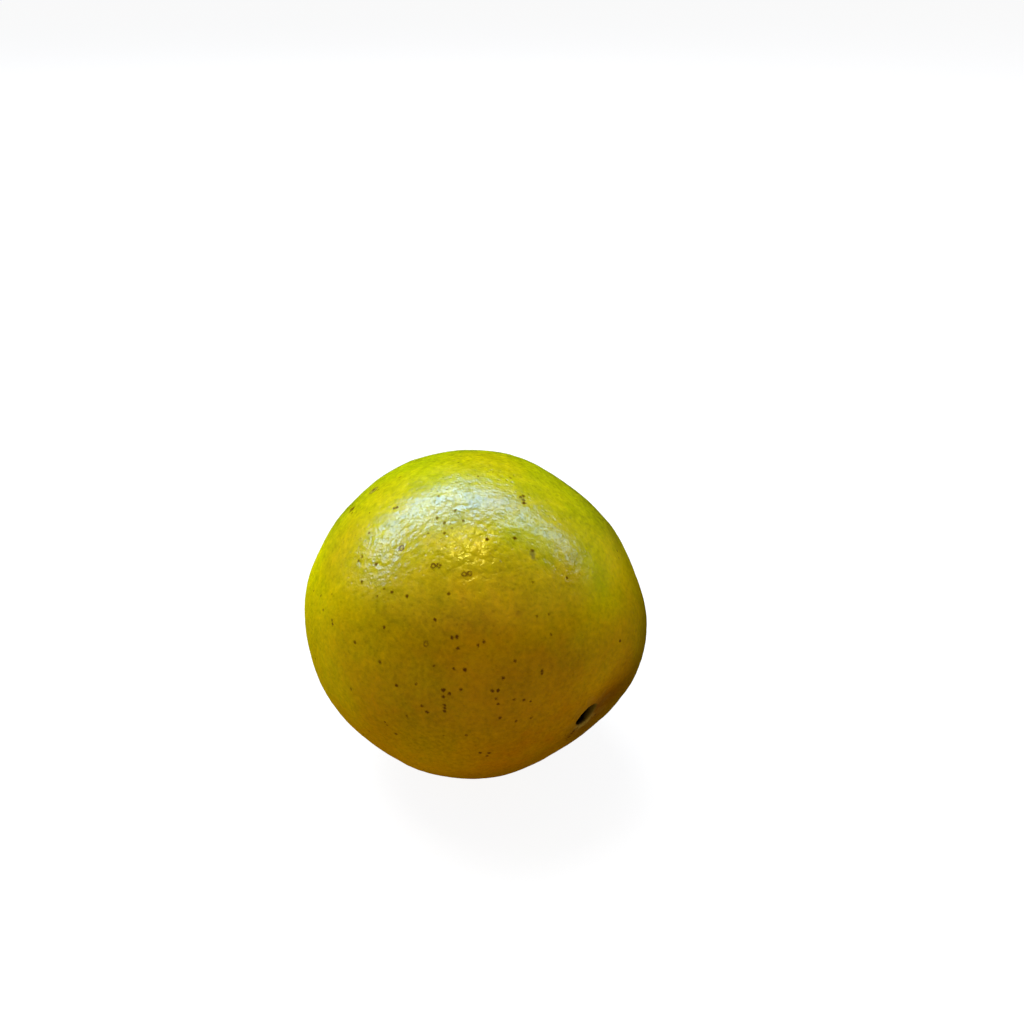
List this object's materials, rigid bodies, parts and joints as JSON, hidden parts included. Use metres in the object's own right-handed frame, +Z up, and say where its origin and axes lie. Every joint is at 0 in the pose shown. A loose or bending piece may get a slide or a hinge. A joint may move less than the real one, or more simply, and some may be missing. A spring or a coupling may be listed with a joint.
{
  "type": "sweet orange",
  "caption": "Whole round citrus fruit with pebbled peel, lying on its side on a small flat spot, with the dry stem button sunk in its pit.",
  "frame": {"origin": "on the surface that the fruit rests on, under the middle of its box", "axes": "+Z is up from the rest spot, +X is along the longest side of the box, and the stem end looks towards -Y, +X and a little down"},
  "size_m": [0.0766, 0.0738, 0.0729],
  "materials": {
    "peel": "waxy and pebbled, green above and ochre yellow below",
    "button": "dry and rough, grey brown"
  },
  "bodies": {
    "root": {"fruit": "peel", "stem_button": "button"}
  },
  "joints": []
}
